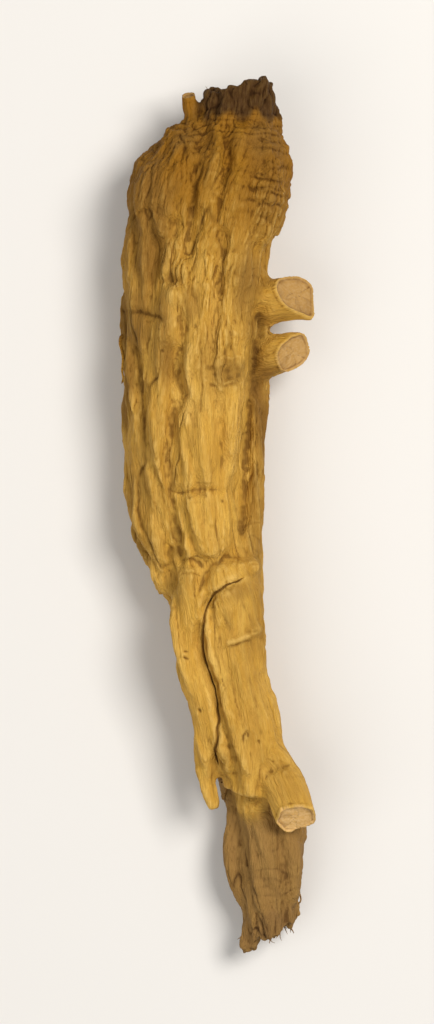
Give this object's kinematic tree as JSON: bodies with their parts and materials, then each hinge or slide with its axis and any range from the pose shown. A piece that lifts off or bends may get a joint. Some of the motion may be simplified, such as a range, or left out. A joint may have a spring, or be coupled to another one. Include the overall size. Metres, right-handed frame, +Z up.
{
  "type": "dried ginseng root",
  "caption": "Dried ginseng root lying on its back: broken neck, ringed shoulder, deep lengthwise wrinkles, cut side stumps, leg-like branches and a blunt tail.",
  "frame": {"origin": "middle of the root's box in plan, on the surface that it lies on", "axes": "+Y from the tail to the crown, +X to the side with the cut side stumps, +Z up from the back that it lies on to the side that shows"},
  "size_m": [0.0248, 0.1086, 0.0153],
  "materials": {
    "root_skin": "dry, matt, ochre yellow, darker in the wrinkles"
  },
  "bodies": {
    "root": {"ginseng_root": "root_skin"}
  },
  "joints": []
}
